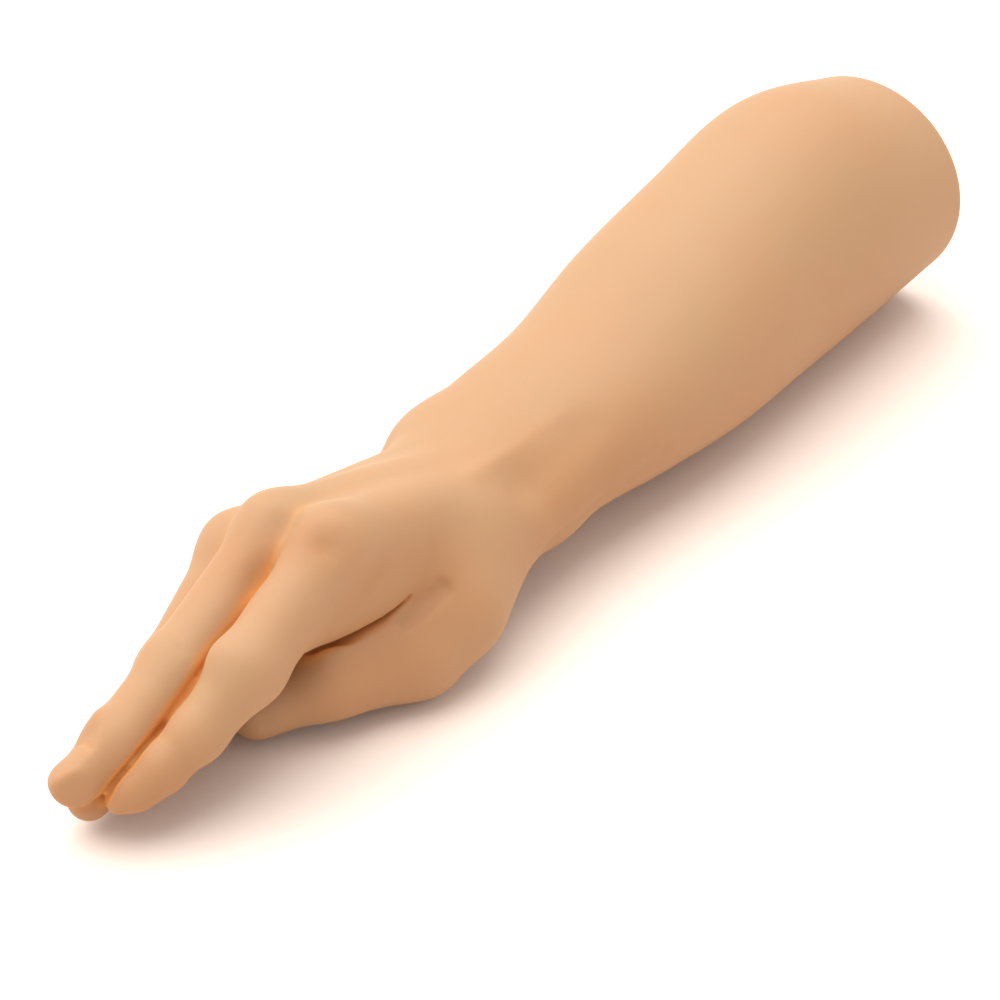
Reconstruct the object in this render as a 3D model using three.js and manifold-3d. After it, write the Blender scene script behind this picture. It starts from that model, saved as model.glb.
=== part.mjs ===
// Life-size right hand and forearm, moulded in one piece of soft plastic.
// It lies palm down: the fingertips are gathered to a point at -X, the flat cut
// end of the forearm faces +X, the thumb is on the -Y side and +Z is up.
// Each named solid is one section of the moulding. The hand bends on the
// forearm at the wrist, about the line HINGE along Y.
import * as THREE from 'three';
import { mergeVertices } from 'three/addons/utils/BufferGeometryUtils.js';
import Module from 'manifold-3d';

const wasm = await Module();
wasm.setup();

// ---- Driving dimensions (mm) ----

const GAP = 0.3;            // left between sections that touch
const SIDES_ARM = 28;       // facets round the forearm, wrist and palm
const SIDES_BONE = 12;      // facets round one finger bone
const CAP_STEPS = 3;        // facets from a bone's side to its pole
const RING_STEP = 12;       // length of one ring of facets along the arm

const WRIST_FROM = -32;     // the wrist section runs between these two planes
const WRIST_TO = 12;
const ARM_END = 197;        // the flat cut end
const EDGE_ROUND = 3;       // rounding of the cut end's rim
const PALM_TO = -94;        // the palm's oval ends here, inside the knuckles
const FLOOR_CUT = 20;       // depth of the block that flattens the underside

// Sections of the forearm: [x, centre y, centre z, half width, half height].
const FOREARM = [
  [-32, -1, 27.5, 31.5, 18.5],
  [-22, -1.5, 28.5, 32.5, 19.5],
  [2, -2.5, 31.5, 33, 22.5],
  [32, -2.5, 31.5, 35, 26.5],
  [72, -1, 35, 39.5, 34.5],
  [112, 1, 38.5, 40, 40],
  [152, 2.5, 42, 41, 43],
  [197, 1.5, 39, 37.5, 36],
];

// Sections of the palm, with the roll of the section about X in degrees:
// the knuckle row slopes down from the index finger to the little finger.
const PALM = [
  [-94, 5.5, 36.5, 32, 12.5, -41],
  [-78, 4, 35, 32.5, 14.5, -37],
  [-60, 2, 32.5, 31.5, 15, -29],
  [-45, 0.5, 29.5, 31.5, 15.5, -17],
  [-32, -0.5, 27, 32, 16.5, -5],
];

// Joint centres and radii from the knuckle to the middle of the fingertip.
const FINGERS = {
  index_finger: {
    root: [-18, -16, 30.5],
    joints: [[-100, -14.5, 55], [-141, -20, 40.5], [-159, -17.5, 27.5], [-170, -14, 21],
      [-177, -11, 17], [-181.5, -8.5, 15.2]],
    radii: [11.5, 9.8, 7.7, 6.9, 5.5, 3.8],
  },
  middle_finger: {
    root: [-20, -6, 32.5],
    joints: [[-100, 5.5, 50.5], [-147.5, 1.5, 32.5], [-172.5, 0.2, 24.7], [-189.6, 0.5, 21.5]],
    radii: [12, 10.1, 8.6, 7.2],
  },
  ring_finger: {
    root: [-20, 5, 30.5],
    joints: [[-99.5, 21, 37.5], [-139.5, 12, 23], [-164.5, 7, 12], [-181.7, 3.2, 9.9]],
    radii: [11.6, 9.4, 8.2, 6.2],
  },
  little_finger: {
    root: [-18, 14, 25.5],
    joints: [[-86, 23, 20], [-120, 21, 13], [-138, 14.5, 8], [-153, 9, 5.5]],
    radii: [10.5, 8.6, 7.2, 6.4],
  },
};
const THUMB = {
  joints: [[-37, -21.5, 33], [-81.5, -28, 15], [-109, -18.5, 16.5], [-126.5, -8, 11.5]],
  radii: [13, 13.3, 10.5, 8.6],
  muscles: [
    { from: [-52.5, -24.5, 24], to: [-66, -30.5, 21.5], radii: [15.5, 15.5] },
    { from: [-78, -25.5, 26.5], to: [-105, -18.5, 24.5], radii: [7.5, 6.2] },
  ],
};
const BONE_BASE = 12.5;     // radius of a hand bone where it leaves the wrist
const KNUCKLE_SEAT = 0.9;   // a finger's first radius as a share of its knuckle's

// The web between thumb and index finger, and the heel of the hand.
const WEB = [
  { from: [-58, -20, 33], to: [-116, -14.5, 40], radii: [13, 9.5] },
  { from: [-66, -22, 24], to: [-100, -12, 27], radii: [10, 8] },
];
const HEEL = { from: [-34, 12, 25], to: [-74, 21, 18], radii: [13, 11] };

const SKIN = 0xe9bf97;
const SKIN_ROUGHNESS = 0.5;

// ---- Geometry ----

// A closed solid from a geometry: only positions, merged, no flat triangles.
function toSolid(geometry) {
  geometry.deleteAttribute('normal');
  geometry.deleteAttribute('uv');
  const merged = mergeVertices(geometry);
  const corners = merged.index.array;
  const kept = [];
  for (let i = 0; i < corners.length; i += 3) {
    const [a, b, c] = corners.slice(i, i + 3);
    if (a !== b && b !== c && c !== a) {
      kept.push(a, b, c);
    }
  }
  return new wasm.Manifold(new wasm.Mesh({
    numProp: 3,
    vertProperties: new Float32Array(merged.attributes.position.array),
    triVerts: new Uint32Array(kept),
  }));
}

// Values between the rows of a table whose first column is x.
function along(table) {
  const count = table[0].length - 1;
  const xs = Float32Array.from(table, (row) => row[0]);
  const values = Float32Array.from(table.flatMap((row) => row.slice(1)));
  const curve = new THREE.CubicInterpolant(xs, values, count, new Float32Array(count));
  return (x) => Array.from(curve.evaluate(x));
}

// A tube of oval sections from one plane to the next. round > 0 eases the far rim.
function ovalTube(table, from, to, round = 0) {
  const rings = Math.max(2, Math.ceil((to - from) / RING_STEP));
  const geometry = new THREE.CylinderGeometry(1, 1, 1, SIDES_ARM, rings);
  const place = geometry.attributes.position;
  const section = along(table);
  for (let i = 0; i < place.count; i += 1) {
    const t = place.getY(i) + 0.5;
    const last = round > 0 && t > 1 - 0.5 / rings;
    const x = from + (to - from) * t;
    const [y, z, halfWidth, halfHeight, roll = 0] = section(x);
    const side = place.getZ(i) * (halfWidth - (last ? round : 0));
    const up = place.getX(i) * (halfHeight - (last ? round : 0));
    const turn = THREE.MathUtils.degToRad(roll);
    const across = side * Math.cos(turn) - up * Math.sin(turn);
    const rise = side * Math.sin(turn) + up * Math.cos(turn);
    place.setXYZ(i, x, y + across, z + rise);
  }
  return toSolid(geometry);
}

// Two spheres joined by a cone that touches both.
function roundCone(from, to, radiusFrom, radiusTo) {
  const a = new THREE.Vector3(...from);
  const b = new THREE.Vector3(...to);
  const length = a.distanceTo(b);
  const lean = Math.asin((radiusFrom - radiusTo) / length);
  const profile = [];
  for (let i = 0; i <= CAP_STEPS; i += 1) {
    const angle = -Math.PI / 2 + (lean + Math.PI / 2) * (i / CAP_STEPS);
    const r = i === 0 ? 0 : radiusFrom * Math.cos(angle);
    profile.push(new THREE.Vector2(r, radiusFrom * Math.sin(angle)));
  }
  for (let i = 0; i <= CAP_STEPS; i += 1) {
    const angle = lean + (Math.PI / 2 - lean) * (i / CAP_STEPS);
    const r = i === CAP_STEPS ? 0 : radiusTo * Math.cos(angle);
    profile.push(new THREE.Vector2(r, length + radiusTo * Math.sin(angle)));
  }
  const geometry = new THREE.LatheGeometry(profile, SIDES_BONE);
  const up = new THREE.Vector3(0, 1, 0);
  const turn = new THREE.Quaternion().setFromUnitVectors(up, b.clone().sub(a).normalize());
  geometry.applyQuaternion(turn);
  geometry.translate(a.x, a.y, a.z);
  return toSolid(geometry);
}

// The bones of one digit in a row, with any muscles beside them. A finger has a root
// in the palm, so it starts thinner, and grow makes the larger copy that cuts a gap.
function digit({ root, joints, radii, muscles = [] }, grow = 0) {
  const seat = root ? KNUCKLE_SEAT : 1;
  const sizes = radii.map((radius, i) => radius * (i === 0 ? seat : 1) + grow);
  let solid = null;
  for (let i = 0; i + 1 < joints.length; i += 1) {
    const bone = roundCone(joints[i], joints[i + 1], sizes[i], sizes[i + 1]);
    solid = solid ? solid.add(bone) : bone;
  }
  for (const { from, to, radii: [wide, narrow] } of muscles) {
    solid = solid.add(roundCone(from, to, wide + grow, narrow + grow));
  }
  return solid;
}

// The largest piece of what a cut leaves, without the crumbs beside it.
function mainPiece(solid) {
  const pieces = solid.decompose();
  return pieces.reduce((best, piece) => (piece.volume() > best.volume() ? piece : best));
}

// The palm: an oval tube, the four hand bones with their knuckles, web and heel.
function palm(grow = 0) {
  const wider = PALM.map(([x, y, z, w, h, roll]) => [x, y, z, w + grow, h + grow, roll]);
  let solid = ovalTube(wider, PALM_TO - grow, WRIST_FROM - GAP / 2 + grow);
  for (const { root, joints, radii } of Object.values(FINGERS)) {
    solid = solid.add(roundCone(root, joints[0], BONE_BASE + grow, radii[0] + grow));
  }
  for (const { from, to, radii } of [...WEB, HEEL]) {
    solid = solid.add(roundCone(from, to, radii[0] + grow, radii[1] + grow));
  }
  return solid;
}

// Everything on the +X side of a plane, as a block to cut with.
function blockFrom(x) {
  const geometry = new THREE.BoxGeometry(400, 400, 400);
  geometry.translate(x + 200, 0, 0);
  return toSolid(geometry);
}

// What lies below the table top.
function blockBelow() {
  const geometry = new THREE.BoxGeometry(500, 200, FLOOR_CUT);
  geometry.translate(0, 0, -FLOOR_CUT / 2);
  return toSolid(geometry);
}

function toMesh(name, solid) {
  const { vertProperties, triVerts, numProp } = solid.getMesh();
  const geometry = new THREE.BufferGeometry();
  const places = new THREE.BufferAttribute(new Float32Array(vertProperties), numProp);
  geometry.setAttribute('position', places);
  geometry.setIndex(new THREE.BufferAttribute(new Uint32Array(triVerts), 1));
  geometry.computeVertexNormals();
  const material = new THREE.MeshStandardMaterial({
    color: SKIN,
    roughness: SKIN_ROUGHNESS,
    metalness: 0,
  });
  const mesh = new THREE.Mesh(geometry, material);
  mesh.name = name;
  return mesh;
}

// ---- Assembly ----

const object = new THREE.Group();
const floor = blockBelow();
const wristSide = blockFrom(WRIST_FROM - GAP / 2);

const forearm = ovalTube(FOREARM, WRIST_TO + GAP / 2, ARM_END, EDGE_ROUND);
object.add(toMesh('forearm', forearm.subtract(floor)));
object.add(toMesh('wrist', ovalTube(FOREARM, WRIST_FROM + GAP / 2, WRIST_TO - GAP / 2)));
object.add(toMesh('palm', mainPiece(palm().subtract(wristSide).subtract(floor))));

// Each digit is cut back from the palm and from the digits made before it.
let taken = palm(GAP).add(wristSide).add(floor);
for (const [name, bones] of Object.entries({ ...FINGERS, thumb: THUMB })) {
  object.add(toMesh(name, mainPiece(digit(bones).subtract(taken))));
  taken = taken.add(digit(bones, GAP));
}

export default object;
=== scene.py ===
"""A life-size right hand and forearm, moulded in one piece of soft plastic.

The whole moulding is one continuous skin. Its form is a distance field: bones as
round cones, the palm and the arm as tubes of oval sections, all joined by smooth
unions, with small swellings, hollows and creases added to the distance. The field
is meshed once.
Sculpting is done in millimetres, in the row frame, and the mesh is scaled to metres.
"""
import math

import bpy
import numpy as np
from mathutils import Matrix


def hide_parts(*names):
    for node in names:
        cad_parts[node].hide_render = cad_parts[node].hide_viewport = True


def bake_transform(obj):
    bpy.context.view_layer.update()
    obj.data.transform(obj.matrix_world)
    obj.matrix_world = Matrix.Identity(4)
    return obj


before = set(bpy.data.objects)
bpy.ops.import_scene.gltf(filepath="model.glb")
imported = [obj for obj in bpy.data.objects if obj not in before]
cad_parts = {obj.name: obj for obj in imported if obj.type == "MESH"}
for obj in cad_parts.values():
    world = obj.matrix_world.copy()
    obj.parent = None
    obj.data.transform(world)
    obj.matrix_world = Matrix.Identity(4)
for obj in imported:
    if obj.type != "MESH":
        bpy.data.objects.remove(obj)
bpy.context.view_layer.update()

import openvdb
from mathutils import Matrix, Vector

MM = 0.001

# ---- Skeleton and sections (mm, row frame) ----

# The arm from inside the palm to the cut: x, centre y, centre z, half width, half height.
ARM = (
    (-56, -6.0, 27.0, 16.0, 9.0),
    (-38, -6.5, 27.5, 22.0, 14.5),
    (-22, -1.5, 28.5, 32.0, 19.5),
    (2, -2.5, 31.5, 33.0, 22.5),
    (32, -2.5, 31.5, 35.0, 26.5),
    (72, -1.0, 35.0, 39.5, 34.5),
    (112, 1.0, 38.5, 40.0, 40.0),
    (152, 2.5, 42.0, 41.0, 43.0),
    (197, 1.5, 39.0, 37.5, 36.0),
)
ARM_RIMS = (8.0, 4.0)    # rounding where the arm starts in the hand, and at the cut
PALM_RIMS = (4.0, 4.0)

# The palm: the same, with the roll of each section about X in degrees.
PALM = (
    (-94, 5.5, 36.5, 30.0, 10.5, -41.0),
    (-78, 4.0, 35.0, 31.0, 13.0, -37.0),
    (-60, 2.0, 32.5, 30.5, 14.0, -29.0),
    (-45, 0.5, 29.5, 30.5, 14.5, -17.0),
    (-32, -0.5, 27.0, 31.0, 15.5, -5.0),
)

# Each finger: where its hand bone leaves the wrist, then knuckle, middle joint,
# end joint and on to the fingertip, with the radius at each of them.
FINGERS = {
    "index": (
        (-18, -16, 30.5),
        ((-100, -14.5, 55), (-141, -20, 40.5), (-159, -17, 27.8), (-170, -13.6, 21.3),
         (-177, -10.7, 17.2), (-181.5, -8.5, 15.2)),
        (11.5, 9.8, 7.2, 6.4, 5.2, 3.8),
    ),
    "middle": (
        (-20, -6, 32.5),
        ((-100, 5.5, 50.5), (-147.5, 1.5, 32.5), (-172.5, 0.2, 24.7), (-187.7, 1.3, 20.9)),
        (12.0, 10.1, 8.6, 7.2),
    ),
    "ring": (
        (-20, 5, 30.5),
        ((-99.5, 21, 37.5), (-139.5, 12, 23), (-164.5, 7, 12), (-181.7, 3.2, 9.9)),
        (11.6, 9.4, 8.2, 6.2),
    ),
    "little": (
        (-18, 14, 25.5),
        ((-86, 23, 20), (-120, 21, 13), (-138, 14.5, 8), (-153, 9, 5.5)),
        (10.5, 8.6, 7.2, 6.4),
    ),
}
HAND_BONE = 12.5         # radius of a hand bone at the wrist
THUMB = (
    ((-37, -21.5, 33), (-81.5, -28, 15), (-109, -18.5, 16.5), (-126.5, -8, 11.5)),
    (13.0, 13.3, 10.5, 8.6),
)
THENAR = (
    ((-52.5, -24.5, 24), (-66, -30.5, 21.5), 14.0, 14.6),
    ((-78, -25.5, 26.5), (-105, -18.5, 24.5), 7.5, 6.2),
)
WEB = (
    ((-58, -20, 33), (-116, -14.5, 40), 13.0, 9.5),
    ((-66, -22, 24), (-100, -12, 27), 10.0, 8.0),
)
HEEL = ((-34, 12, 25), (-74, 21, 18), 13.0, 11.0)

KNUCKLE_SEAT = 0.93      # a finger's first radius as a share of its knuckle's
THUMB_SEAT = 1.0
JOINT_SEAT = 0.985       # the same share at the joints further out

# How softly neighbours run into one another: the width of the union, in mm.
SOFT_JOINTS = 4.5        # from bone to bone along a finger
SOFT_THUMB_JOINTS = 6.0
SOFT_FINGERS = 1.6       # fingers side by side
SOFT_BONES = 8.0         # hand bones, web and thumb muscles
SOFT_KNUCKLES = 7.0
SOFT_WRIST = 14.0
SOFT_PALM = 12.0         # the heel of the hand
SOFT_FLOOR = 2.0         # the rim of the flat underside
THUMB_SOFT = 14.0        # at the root of the thumb, up to THUMB_FROM
THUMB_SHARP = 1.4        # where it lies against the palm, past THUMB_TO
THUMB_FROM = -62.0
THUMB_TO = -86.0

# Swellings and hollows: centre, reach and height (negative for a hollow), in mm.
SWELLINGS = (
    (-37, 25, 36, 9, -3.0),          # the notch past the end of the ulna
    (6, -4, 55, 24, -1.8),           # the flat back of the wrist
    (-30, -29, 44, 10, -2.0),        # the hollow at the root of the thumb
    (-30, -33, 19, 8, -1.4),
    (-108, -19.5, 61, 5, -1.4),      # the side of the index knuckle
    (-106, -3, 61, 6, -1.5),         # between the index and middle knuckles
    (-119, -5, 51, 6, -1.3),
    (-147, -14, 46, 5, 1.0),         # the middle joints
    (-148, 6, 41, 5, 0.8),
    (-174, 5, 34, 3.5, 0.9),
    (-184, 7, 26, 3.5, -0.6),        # beside the nail
    (-100, -30, 6, 10, 0.9),         # the underside of the thumb
)

# Creases: a line of points on the skin, its half width and its depth, in mm.
CREASES = (
    # a softer fold below the start of the one under the thumb
    (((-75.3, -33.3, 35.6), (-81, -32.2, 33.2), (-88.4, -30.6, 30.6)), 2.3, 2.1),
    # the tendon that runs to the thumb, and the hollow beside it
    (((-44, -19, 52), (-25, -18.5, 52), (-2, -18, 53)), 3.5, -0.8),
    (((-34, -28, 46), (-20, -28, 46.5), (2, -27.5, 49)), 6.5, 1.5),
    # along the palm side of the wrist
    (((-30, -36, 26), (-10, -36, 27), (8, -37, 28), (25, -38, 30)), 3.0, 0.8),
    # behind the nail of the middle finger, and across its middle joint
    (((-182.4, -0.2, 29.4), (-180.6, 3.3, 28), (-181, 6.9, 26)), 1.0, 0.6),
    (((-149, -5, 43), (-148, 4, 43)), 1.0, 0.4),
)

# Deep narrow folds: points along the lip with the half width at each, then the way
# in, the depth and how soft the lips are.
FOLDS = (
    # where the thumb lies against the hand
    (
        ((-84.5, -31, 35.2, 0.3), (-88.5, -30, 33.4, 0.6), (-93.5, -28, 32.0, 0.7),
         (-100, -26, 31.1, 0.8), (-106, -23, 30.3, 1.0), (-113, -17, 29, 1.4)),
        (0.2, 0.97, 0.1), 8.0, 1.3,
    ),
    # between the index and middle fingers
    (
        ((-133, -8, 44, 0.2), (-144, -8.5, 41.5, 0.3), (-156, -9, 36, 0.3),
         (-166, -9.5, 30, 0.2)),
        (0.1, 0.3, -0.95), 3.0, 1.8,
    ),
    (
        ((-163, -8.6, 29, 0.4), (-168, -9.0, 28, 0.5), (-173, -9.2, 27, 0.5),
         (-177, -8.8, 24.8, 0.5), (-181.5, -7.6, 21, 0.5), (-187, -7.2, 16, 0.6)),
        (0.5, 0.5, -0.7), 1.6, 1.8,
    ),
    # between the middle and ring fingers
    (
        ((-126, 14.5, 40, 0.4), (-138, 13, 35.5, 0.6), (-152, 11.5, 28.5, 0.6),
         (-167, 8.5, 21.5, 0.6), (-173, 10.5, 20.2, 0.6)),
        (0.1, -0.9, -0.4), 1.8, 1.8,
    ),
)

# Flats on one finger: a point, the way it faces, its reach and how soft its edge is.
FLATS = (
    ("middle", (-186.5, 3.7, 26.5), (-0.3, 0.45, 0.84), 8.0, 1.5),    # the nail
    ("middle", (-191.6, -2.1, 22), (-0.7, -0.6, 0.2), 5.0, 1.5),      # the end below it
)

# Painted shade: where the skin is painted a darker, deeper pink for the shade that falls
# there: centre and reach in mm, and strength.
PAINTED_SHADE_SPOTS = (
    (-22, -30, 41, 17, 0.75),        # the thumb side of the wrist
    (-2, -32, 40, 17, 0.5),
    (18, -34, 38, 17, 0.4),
    (-76, -33, 34, 12, 0.9),         # where the thumb leaves the hand
    (-93, -33, 27, 14, 0.8),         # the thumb
    (-112, -29, 20, 16, 0.8),
    (-109, -17, 62, 7, 0.9),         # beside the index knuckle
    (-118, -1, 53, 10, 0.9),         # between the knuckles
    (-176, -15, 20, 13, 0.9),        # the fingertips
    (-187, -3, 14, 12, 0.9),
)
PAINTED_SHADE_DEPTH = 1.3         # how fast painted shade spots that overlap add up to a full one
SHADED_FROM = -116.0     # folds in the painted shade take a darker painted shade from here
SHADED_TO = -104.0       # to here, and on towards the wrist


# ---- The distance field ----

FAR_AWAY = 1e9
SWELLING_LIMIT = 2.4     # a swelling ends at this many times its reach
CREASE_LIMIT = 3         # and a crease at this many times its half width


def smooth_min(a, b, k):
    """The smaller of the two, with the corner where they meet rounded over a width k."""
    near = np.maximum(k - np.abs(a - b), 0) / k
    return np.minimum(a, b) - near * near * k * 0.25


def smooth_step(x, start, end):
    """Runs from 0 to 1 as x goes from start to end."""
    t = np.clip((x - start) / (end - start), 0, 1)
    return t * t * (3 - 2 * t)


def round_cone(p, a, b, ra, rb):
    """Distance to two spheres joined by a cone that touches both."""
    a, b = np.float32(a), np.float32(b)
    ba = b - a
    length2 = float(ba @ ba)
    dr = ra - rb
    slant2 = length2 - dr * dr
    pa = p - a
    y = pa @ ba
    z = y - length2
    across = pa * length2 - ba * y[:, None]
    x2 = np.einsum("ij,ij->i", across, across)
    y2 = y * y * length2
    z2 = z * z * length2
    k = np.sign(dr) * dr * dr * x2
    d = (np.sqrt(x2 * slant2 / length2) + y * dr) / length2 - ra
    past_b = np.sign(z) * slant2 * z2 > k
    before_a = (np.sign(y) * slant2 * y2 < k) & ~past_b
    d = np.where(past_b, np.sqrt(x2 + z2) / length2 - rb, d)
    return np.where(before_a, np.sqrt(x2 + y2) / length2 - ra, d)


def line_distance(p, line):
    """Distance to a line through the given points."""
    best = np.full(len(p), FAR_AWAY, np.float32)
    for a, b in zip(line[:-1], line[1:]):
        a, b = np.float32(a), np.float32(b)
        ba, pa = b - a, p - a
        t = np.clip(pa @ ba / float(ba @ ba), 0, 1)
        away = pa - t[:, None] * ba
        best = np.minimum(best, np.einsum("ij,ij->i", away, away))
    return np.sqrt(best)


def fold_distance(p, line, inward, depth):
    """Distance to a thin curved wall that runs from a line on the skin inwards."""
    inward = np.float32(inward) / np.linalg.norm(inward)
    best = np.full(len(p), FAR_AWAY, np.float32)
    for a, b in zip(line[:-1], line[1:]):
        wide_a, wide_b = a[3], b[3]
        a, b = np.float32(a[:3]), np.float32(b[:3])
        ba, pa = b - a, p - a
        across = ba - (ba @ inward) * inward
        t = np.clip(pa @ across / float(across @ across), 0, 1)
        away = pa - t[:, None] * ba
        away = away - np.clip(away @ inward, 0, depth)[:, None] * inward
        near = np.sqrt(np.einsum("ij,ij->i", away, away))
        best = np.minimum(best, near - wide_a - t * (wide_b - wide_a))
    return best


def fine_table(table, step=0.5):
    """A table of sections as a smooth curve through its rows, one row every step mm."""
    rows = np.array(table, float)
    xs, values = rows[:, 0], rows[:, 1:]
    slope = np.gradient(values, xs, axis=0)
    x = np.arange(xs[0], xs[-1] + step, step)
    i = np.clip(np.searchsorted(xs, x) - 1, 0, len(xs) - 2)
    h = xs[i + 1] - xs[i]
    t = np.clip((x - xs[i]) / h, 0, 1)[:, None]
    h = h[:, None]
    curve = (
        (2 * t**3 - 3 * t**2 + 1) * values[i]
        + (t**3 - 2 * t**2 + t) * h * slope[i]
        + (3 * t**2 - 2 * t**3) * values[i + 1]
        + (t**3 - t**2) * h * slope[i + 1]
    )
    return x, curve.astype(np.float32)


def oval_tube(p, table, rims):
    """Distance to a tube of oval sections, closed by flat ends with round rims."""
    x, curve = table
    column = [np.interp(p[:, 0], x, c).astype(np.float32) for c in curve.T]
    y, z = p[:, 1] - column[0], p[:, 2] - column[1]
    if len(column) > 4:
        turn = np.radians(column[4])
        y, z = y * np.cos(turn) + z * np.sin(turn), z * np.cos(turn) - y * np.sin(turn)
    u, v = y / column[2], z / column[3]
    k0 = np.sqrt(u * u + v * v)
    k1 = np.sqrt((u / column[2]) ** 2 + (v / column[3]) ** 2)
    side = k0 * (k0 - 1) / np.maximum(k1, 1e-9)
    end = np.maximum(p[:, 0] - x[-1], x[0] - p[:, 0])
    rim = np.where(p[:, 0] < (x[0] + x[-1]) / 2, *np.float32(rims))
    a, b = np.maximum(side + rim, 0), np.maximum(end + rim, 0)
    corner = np.sqrt(a * a + b * b) - rim
    return np.where((a > 0) & (b > 0), corner, np.maximum(side, end))


def flatten(d, p, point, way, reach, soft):
    """Cuts the solid d off flat at a point, on the side that faces way."""
    way = np.float32(way) / np.linalg.norm(way)
    away = p - np.float32(point)
    beyond = np.maximum(np.sqrt(np.einsum("ij,ij->i", away, away)) - reach, 0)
    return -smooth_min(-d, 0.5 * beyond - away @ way, soft)


def digit(p, joints, radii, seat, soft):
    """Distance to the bones of a finger or thumb, one after another."""
    d = None
    for i in range(len(joints) - 1):
        first = radii[i] * (seat if i == 0 else JOINT_SEAT)
        bone = round_cone(p, joints[i], joints[i + 1], first, radii[i + 1])
        d = bone if d is None else smooth_min(d, bone, soft)
    return d


def palm_field(p):
    """Distance to the palm with the hand bones, the web and the heel of the hand."""
    d = oval_tube(p, PALM_CURVE, PALM_RIMS)
    for root, joints, radii in FINGERS.values():
        bone = round_cone(p, root, joints[0], HAND_BONE, radii[0])
        d = smooth_min(d, bone, SOFT_BONES)
    for a, b, ra, rb in WEB:
        d = smooth_min(d, round_cone(p, a, b, ra, rb), SOFT_BONES)
    a, b, ra, rb = HEEL
    return smooth_min(d, round_cone(p, a, b, ra, rb), SOFT_PALM)


def body_field(p):
    """Distance to the moulding without its surface detail."""
    fingers = None
    for name, (_, joints, radii) in FINGERS.items():
        d = digit(p, joints, radii, KNUCKLE_SEAT, SOFT_JOINTS)
        for finger, *flat in FLATS:
            if finger == name:
                d = flatten(d, p, *flat)
        fingers = d if fingers is None else smooth_min(fingers, d, SOFT_FINGERS)
    hand = smooth_min(palm_field(p), fingers, SOFT_KNUCKLES)
    thumb = digit(p, *THUMB, THUMB_SEAT, SOFT_THUMB_JOINTS)
    for a, b, ra, rb in THENAR:
        thumb = smooth_min(thumb, round_cone(p, a, b, ra, rb), SOFT_BONES)
    sharp = smooth_step(p[:, 0], THUMB_FROM, THUMB_TO)
    hand = smooth_min(hand, thumb, THUMB_SOFT + (THUMB_SHARP - THUMB_SOFT) * sharp)
    body = smooth_min(hand, oval_tube(p, ARM_CURVE, ARM_RIMS), SOFT_WRIST)
    for line, inward, depth, soft in FOLDS:
        body = -smooth_min(-body, fold_distance(p, line, inward, depth), soft)
    return -smooth_min(-body, p[:, 2], SOFT_FLOOR)


def detail(p):
    """How far the surface stands out of the plain body at p, in mm."""
    out = np.zeros(len(p), np.float32)
    for x, y, z, reach, height in SWELLINGS:
        near = np.abs(p[:, 0] - x) < SWELLING_LIMIT * reach
        away = p[near] - np.float32((x, y, z))
        out[near] += height * np.exp(-np.einsum("ij,ij->i", away, away) / reach**2)
    for line, width, depth in CREASES:
        xs = [point[0] for point in line]
        reach = CREASE_LIMIT * width
        near = (p[:, 0] > min(xs) - reach) & (p[:, 0] < max(xs) + reach)
        away = line_distance(p[near], line)
        out[near] -= depth * np.exp(-((away / width) ** 2))
    return out


ARM_CURVE = fine_table(ARM)
PALM_CURVE = fine_table(PALM)
BLOCK = 200000           # points worked out at a time, to save memory


def field(p):
    """Distance to the finished surface, negative inside it."""
    p = np.asarray(p, np.float32)
    parts = []
    for i in range(0, len(p), BLOCK):
        q = p[i:i + BLOCK]
        parts.append(body_field(q) - detail(q))
    return np.concatenate(parts)


# ---- Meshing ----

LOW = np.array((-204.0, -56.0, -4.0))
HIGH = np.array((202.0, 52.0, 92.0))
COARSE = 4.0                       # one coarse cell, in mm
SPLIT = 4     # fine cells along one coarse cell
OUTSIDE = 2.0 * COARSE             # the distance is cut off here
SHELL = 1.6 * COARSE               # and is worked out finely up to here
MAX_MOVE = 1.0                     # a point's longest move onto the surface
FLATTEST = 0.05                    # the least squared slope that a move divides by
EVENING = 0.6                      # how much of the way a point moves to its neighbours
FOLD_REACHES = (1.5, 3.0, 6.0)     # how far out a point looks for skin that closes over it


def grid_points(index, cell):
    return (LOW + (index + 0.5) * cell).astype(np.float32)


def sample_grid():
    """The field on a fine grid, worked out only near the surface."""
    size = np.ceil((HIGH - LOW) / COARSE).astype(int)
    coarse = np.stack(np.meshgrid(*map(np.arange, size), indexing="ij"), -1)
    coarse = coarse.reshape(-1, 3)
    rough = field(grid_points(coarse, COARSE))
    blocks = np.clip(rough, -OUTSIDE, OUTSIDE).reshape(size)
    fine = blocks.repeat(SPLIT, 0).repeat(SPLIT, 1).repeat(SPLIT, 2)
    near = coarse[np.abs(rough) < SHELL]
    inner = np.stack(np.meshgrid(*[np.arange(SPLIT)] * 3, indexing="ij"), -1)
    index = (near[:, None, :] * SPLIT + inner.reshape(1, -1, 3)).reshape(-1, 3)
    fine[tuple(index.T)] = field(grid_points(index, COARSE / SPLIT))
    return fine.astype(np.float32)


def gradient(p, step=0.15):
    """Which way the distance grows at each point, and how fast."""
    axes = np.eye(3, dtype=np.float32) * step
    g = [field(p + a) - field(p - a) for a in axes]
    return np.stack(g, -1) / (2 * step)


def settle(points):
    """Moves points along the gradient onto the surface."""
    g = gradient(points)
    length2 = np.maximum(np.einsum("ij,ij->i", g, g), FLATTEST)
    move = field(points)[:, None] * g / length2[:, None]
    reach = np.linalg.norm(move, axis=1, keepdims=True)
    return points - move * np.minimum(1, MAX_MOVE / np.maximum(reach, 1e-6))


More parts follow.
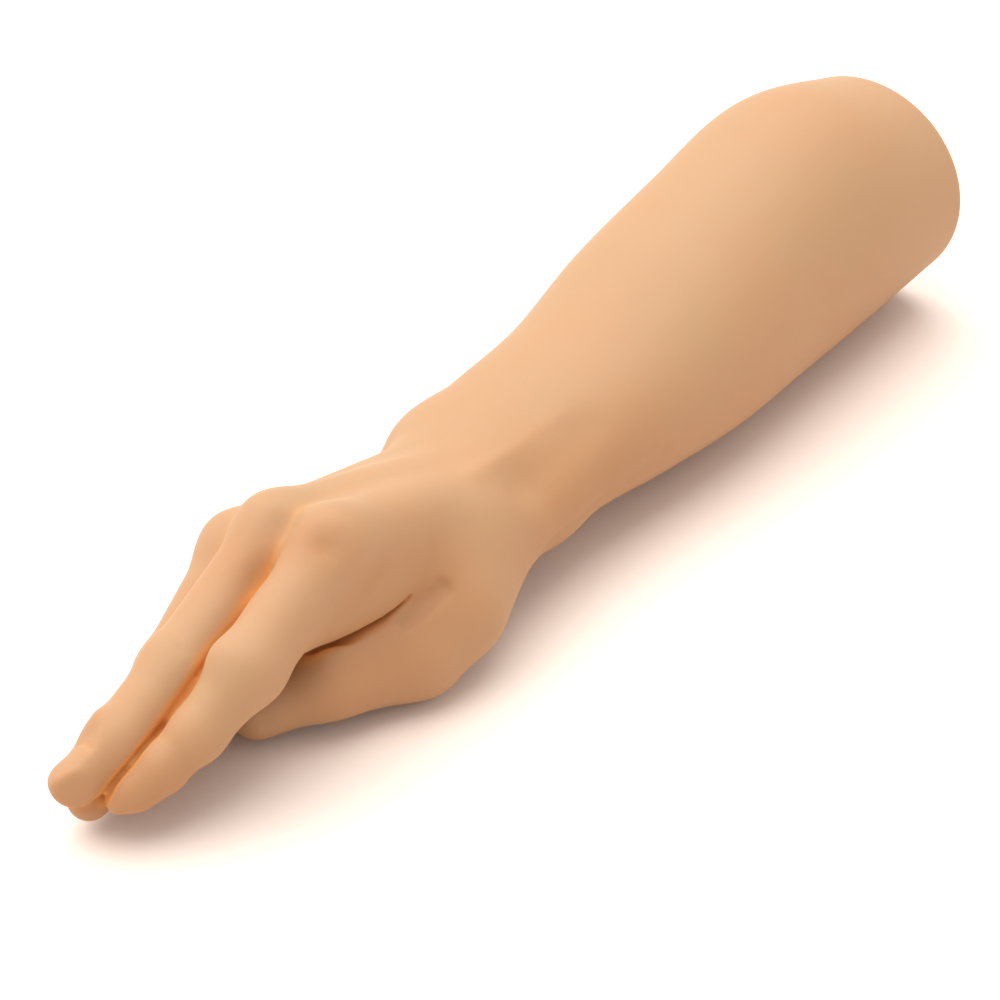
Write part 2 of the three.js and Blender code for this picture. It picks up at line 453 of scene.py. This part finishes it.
def relax(points, quads, times):
    """Evens out the spacing of the points."""
    pairs = np.concatenate([quads[:, [i, (i + 1) % 4]] for i in range(4)])
    count = np.bincount(pairs.ravel(), minlength=len(points))
    for _ in range(times):
        total = np.zeros_like(points)
        for a, b in ((0, 1), (1, 0)):
            for axis in range(3):
                total[:, axis] += np.bincount(
                    pairs[:, a], points[pairs[:, b], axis], len(points)
                )
        points = points + EVENING * (total / count[:, None] - points)
    return points


def enclosure(points, normals):
    """How far the skin around a point closes over it: 0 in the open, 1 in a deep fold."""
    total = 0
    for reach in FOLD_REACHES:
        total = total + np.clip(1 - field(points + normals * reach) / reach, 0, 1)
    return total / len(FOLD_REACHES)


def painted_shade(points):
    """How strongly each point takes the painted shade, from 0 to 1."""
    total = np.zeros(len(points))
    for *centre, reach, strength in PAINTED_SHADE_SPOTS:
        away = points - centre
        total += strength * np.exp(-np.einsum("ij,ij->i", away, away) / reach**2)
    return 1 - np.exp(-PAINTED_SHADE_DEPTH * total)


def skin_mesh():
    """The whole skin in metres, with the point values that its material reads."""
    grid = openvdb.FloatGrid(OUTSIDE)
    grid.copyFromArray(sample_grid())
    points, quads = grid.convertToQuads(0.0)
    quads = quads.astype(np.int64)
    points = LOW + (points.astype(np.float64) + 0.5) * (COARSE / SPLIT)
    for _ in range(2):
        points = relax(points, quads, 2)
        points = settle(points)
    points = settle(points)
    mesh = bpy.data.meshes.new("skin")
    mesh.vertices.add(len(points))
    mesh.vertices.foreach_set("co", (points * MM).astype(np.float32).ravel())
    mesh.loops.add(quads.size)
    mesh.loops.foreach_set("vertex_index", quads.astype(np.int32).ravel())
    mesh.polygons.add(len(quads))
    mesh.polygons.foreach_set("loop_start", np.arange(0, quads.size, 4, dtype=np.int32))
    mesh.update(calc_edges=True)
    mesh.validate()
    mesh.shade_smooth()
    normals = gradient(points)
    normals /= np.linalg.norm(normals, axis=1, keepdims=True)
    # how strongly the painted shade shows at each point, and where folds take the darker
    # painted shade
    painted_shade_amount = painted_shade(points)
    for name, values in (
        ("enclosed", enclosure(points, normals)),
        ("painted_shade", painted_shade_amount),
        ("shaded", painted_shade_amount * smooth_step(points[:, 0], SHADED_FROM, SHADED_TO)),
    ):
        layer = mesh.attributes.new(name, "FLOAT", "POINT")
        layer.data.foreach_set("value", values.astype(np.float32))
    return mesh


# ---- Material ----

SKIN_COLOUR = (0.40, 0.231, 0.117, 1)
BLUSH_COLOUR = (0.41, 0.222, 0.111, 1)     # broad pinker patches
# painted shade: a darker, deeper pink where shade falls on the skin
PAINTED_SHADE_COLOUR = (0.38, 0.183, 0.08, 1)
PAINTED_FOLD_GLOW_COLOUR = (0.58, 0.25, 0.075, 1)       # painted glow: the deep orange of light bounced inside the folds
PAINTED_FOLD_SHADE_COLOUR = (0.30, 0.10, 0.028, 1)  # painted shade: the same, darkened under the thumb


def add_node(tree, kind, **values):
    node = tree.nodes.new(kind)
    for name, value in values.items():
        node.inputs[name].default_value = value
    return node


def mix_colours(tree, factor, a, b):
    node = tree.nodes.new("ShaderNodeMix")
    node.data_type = "RGBA"
    tree.links.new(factor, node.inputs["Factor"])
    for socket, source in (("A", a), ("B", b)):
        pin = next(i for i in node.inputs if i.name == socket and i.type == "RGBA")
        if isinstance(source, tuple):
            pin.default_value = source
        else:
            tree.links.new(source, pin)
    return next(o for o in node.outputs if o.type == "RGBA")


def ramp(tree, source, low, high):
    """Runs from 0 to 1 as the source goes from low to high."""
    node = add_node(tree, "ShaderNodeMapRange", **{"From Min": low, "From Max": high})
    node.interpolation_type = "SMOOTHSTEP"
    tree.links.new(source, node.inputs["Value"])
    return node.outputs["Result"]


def layer_value(tree, name):
    node = tree.nodes.new("ShaderNodeAttribute")
    node.attribute_name = name
    return node.outputs["Fac"]


def skin_material():
    material = bpy.data.materials.new("skin")
    material.use_nodes = True
    tree = material.node_tree
    shader = tree.nodes["Principled BSDF"]
    shader.inputs["Roughness"].default_value = 0.55
    shader.inputs["Specular IOR Level"].default_value = 0.25
    shader.inputs["Subsurface Weight"].default_value = 0.35
    shader.inputs["Subsurface Radius"].default_value = (1.0, 0.42, 0.20)
    shader.inputs["Subsurface Scale"].default_value = 0.006

    place = tree.nodes.new("ShaderNodeTexCoord").outputs["Object"]
    patches = add_node(tree, "ShaderNodeTexNoise", Scale=22.0, Detail=2.0, Roughness=0.5)
    tree.links.new(place, patches.inputs["Vector"])
    blush = ramp(tree, patches.outputs["Fac"], 0.35, 0.7)
    colour = mix_colours(tree, blush, SKIN_COLOUR, BLUSH_COLOUR)
    # painted shade: a darker, deeper pink at the listed spots where shade falls
    colour = mix_colours(tree, layer_value(tree, "painted_shade"), colour, PAINTED_SHADE_COLOUR)
    # painted glow deep in the folds, darkened to a painted shade under the thumb
    fold = ramp(tree, layer_value(tree, "enclosed"), 0.08, 0.75)
    shaded = layer_value(tree, "shaded")
    painted_fold_light = mix_colours(tree, shaded, PAINTED_FOLD_GLOW_COLOUR, PAINTED_FOLD_SHADE_COLOUR)
    colour = mix_colours(tree, fold, colour, painted_fold_light)
    tree.links.new(colour, shader.inputs["Base Color"])

    # the mould's low ripples, then its fine matt grain
    normal = None
    for scale, detail, height in ((90.0, 2.0, 0.00012), (1400.0, 3.0, 0.00002)):
        noise = add_node(tree, "ShaderNodeTexNoise", Scale=scale, Detail=detail)
        tree.links.new(place, noise.inputs["Vector"])
        bump = add_node(tree, "ShaderNodeBump", Strength=1.0, Distance=height)
        tree.links.new(noise.outputs["Fac"], bump.inputs["Height"])
        if normal:
            tree.links.new(normal, bump.inputs["Normal"])
        normal = bump.outputs["Normal"]
    tree.links.new(normal, shader.inputs["Normal"])
    return material


# ---- Camera, floor and light ----

TARGET = Vector((-7.25, 0.8, 14.1)) * MM
CAMERA_AZIMUTH = -51.0
CAMERA_ELEVATION = 34.6
CAMERA_ROLL = -0.47
CAMERA_DISTANCE = 0.939
CAMERA_LENS = 110.8
FLOOR_HALF = 4.0
FLOOR_COLOUR = (0.82, 0.70, 0.62, 1)


def direction(azimuth, elevation):
    """From the object towards a viewer: azimuth 0 stands at -Y."""
    a, e = math.radians(azimuth), math.radians(elevation)
    return Vector((math.sin(a) * math.cos(e), -math.cos(a) * math.cos(e), math.sin(e)))


def make_camera():
    data = bpy.data.cameras.new("camera")
    data.lens = CAMERA_LENS
    data.clip_start, data.clip_end = 0.01, 50
    camera = bpy.data.objects.new("camera", data)
    back = direction(CAMERA_AZIMUTH, CAMERA_ELEVATION)
    turn = (-back).to_track_quat("-Z", "Y").to_matrix().to_4x4()
    roll = Matrix.Rotation(math.radians(CAMERA_ROLL), 4, "Z")
    camera.matrix_world = Matrix.Translation(TARGET + back * CAMERA_DISTANCE) @ turn @ roll
    bpy.context.scene.collection.objects.link(camera)
    bpy.context.scene.camera = camera


def sun(azimuth, elevation, width, strength):
    """A broad soft source, width degrees across, as far away as a studio's wall of light."""
    data = bpy.data.lights.new("key", "SUN")
    data.angle = math.radians(width)
    data.energy = strength
    light = bpy.data.objects.new("key", data)
    light.rotation_mode = "QUATERNION"
    light.rotation_quaternion = (-direction(azimuth, elevation)).to_track_quat("-Z", "Y")
    bpy.context.scene.collection.objects.link(light)


def make_stage():
    mesh = bpy.data.meshes.new("floor")
    corners = [(-1, -1), (1, -1), (1, 1), (-1, 1)]
    points = [(FLOOR_HALF * x, FLOOR_HALF * y, 0) for x, y in corners]
    mesh.from_pydata(points, [], [(0, 1, 2, 3)])
    floor = bpy.data.objects.new("floor", mesh)
    bpy.context.scene.collection.objects.link(floor)
    material = bpy.data.materials.new("floor")
    material.use_nodes = True
    shader = material.node_tree.nodes["Principled BSDF"]
    shader.inputs["Base Color"].default_value = FLOOR_COLOUR
    shader.inputs["Roughness"].default_value = 0.7
    mesh.materials.append(material)
    world = bpy.data.worlds.new("studio")
    bpy.context.scene.world = world
    world.use_nodes = True
    background = world.node_tree.nodes["Background"]
    background.inputs["Color"].default_value = (1, 1, 1, 1)
    background.inputs["Strength"].default_value = 1.0
    bpy.context.scene.view_settings.view_transform = "Standard"


make_camera()
make_stage()
sun(azimuth=180, elevation=70, width=84, strength=3.72)

mesh = skin_mesh()
mesh.materials.append(skin_material())
skin = bpy.data.objects.new("skin", mesh)
bpy.context.scene.collection.objects.link(skin)
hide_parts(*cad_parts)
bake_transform(skin)
